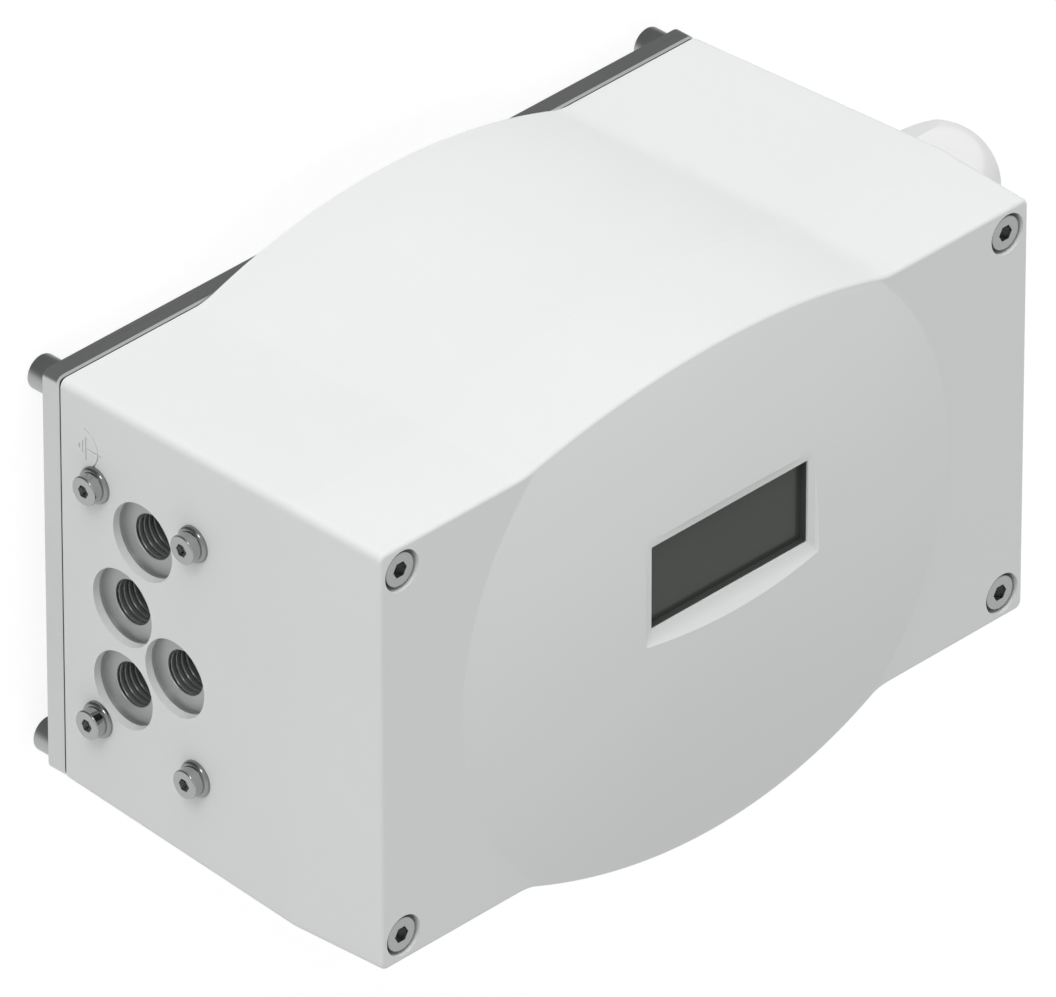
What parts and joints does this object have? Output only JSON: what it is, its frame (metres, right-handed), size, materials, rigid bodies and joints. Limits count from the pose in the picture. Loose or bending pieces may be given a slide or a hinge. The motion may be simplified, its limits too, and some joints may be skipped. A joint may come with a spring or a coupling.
{
  "type": "valve positioner",
  "caption": "Valve positioner with a cast hood over a base plate, air ports, a display, a cable gland and a geared feedback shaft.",
  "frame": {"origin": "centre of the feedback shaft's end face, under the base plate", "axes": "+Z is along the feedback shaft into the hood, towards the display; +X is along the hood from the air ports to the cable gland; +Y is the side towards which the display is shifted"},
  "size_m": [0.2089, 0.1178, 0.1088],
  "materials": {
    "grey_paint": "light grey powder paint, fine texture",
    "milled_aluminium": "bare cast and milled",
    "bright_steel": "zinc-plated",
    "brass": "turned",
    "black_rubber": "matt",
    "smoked_glass": "smoked, polished",
    "circuit_board": "green solder mask",
    "black_plastic": "moulded",
    "grey_plastic": "light grey, moulded"
  },
  "bodies": {
    "housing": {"base_plate": "milled_aluminium", "board_screw_1": "bright_steel", "board_screw_2": "bright_steel", "board_screw_3": "bright_steel", "board_screw_4": "bright_steel", "bracket_screw_1": "bright_steel", "bracket_screw_2": "bright_steel", "display_board": "circuit_board", "display_connector": "black_plastic", "display_module": "black_plastic", "display_seal": "black_rubber", "display_window": "smoked_glass", "foot_1": "bright_steel", "foot_2": "bright_steel", "foot_3": "bright_steel", "foot_4": "bright_steel", "gland_body": "grey_plastic", "gland_insert": "black_rubber", "gland_nut": "grey_plastic", "gland_ring": "black_rubber", "hood": "grey_paint", "hood_gasket": "black_rubber", "hood_screw_1": "bright_steel", "hood_screw_2": "bright_steel", "hood_screw_3": "bright_steel", "hood_screw_4": "bright_steel", "key_body_1": "black_plastic", "key_body_2": "black_plastic", "key_body_3": "black_plastic", "main_board": "circuit_board", "pilot_valve_1": "black_plastic", "pilot_valve_2": "black_plastic", "pilot_valve_3": "black_plastic", "pilot_valve_4": "black_plastic", "pneumatic_block": "milled_aluminium", "port_gasket": "black_rubber", "pot_bracket": "bright_steel", "pot_nut": "bright_steel", "potentiometer": "black_plastic", "shaft_bush": "brass", "shaft_seal": "black_rubber", "side_screw_1": "bright_steel", "side_screw_2": "bright_steel", "side_screw_3": "bright_steel", "side_screw_4": "bright_steel", "side_washer_1": "bright_steel", "side_washer_2": "bright_steel", "side_washer_3": "bright_steel", "side_washer_4": "bright_steel", "terminal_block": "black_plastic"},
    "shaft": {"feedback_shaft": "bright_steel", "drive_gear": "brass", "retaining_ring": "bright_steel"},
    "pot_rotor": {"pot_shaft": "bright_steel", "pot_pinion": "brass"},
    "key_1": {"key_cap_1": "grey_plastic"},
    "key_2": {"key_cap_2": "grey_plastic"},
    "key_3": {"key_cap_3": "grey_plastic"}
  },
  "joints": [
    {"name": "shaft_turn", "type": "hinge", "parent": "housing", "child": "shaft", "pos_m": [0, 0, 0], "axis": [0, 0, 1], "range_deg": [-50, 50]},
    {"name": "pot_turn", "type": "hinge", "parent": "housing", "child": "pot_rotor", "pos_m": [0.03615, 0, 0], "axis": [0, 0, 1], "range_deg": [-100, 100]},
    {"name": "key_press_1", "type": "slide", "parent": "housing", "child": "key_1", "axis": [0, 0, 1], "range_m": [0, 0.001], "stiffness_N_per_m": 1500, "springref_m": -0.0005},
    {"name": "key_press_2", "type": "slide", "parent": "housing", "child": "key_2", "axis": [0, 0, 1], "range_m": [0, 0.001], "stiffness_N_per_m": 1500, "springref_m": -0.0005},
    {"name": "key_press_3", "type": "slide", "parent": "housing", "child": "key_3", "axis": [0, 0, 1], "range_m": [0, 0.001], "stiffness_N_per_m": 1500, "springref_m": -0.0005}
  ],
  "couplings": [
    {"joint": "pot_turn", "follows": "shaft_turn", "ratio": -2}
  ]
}
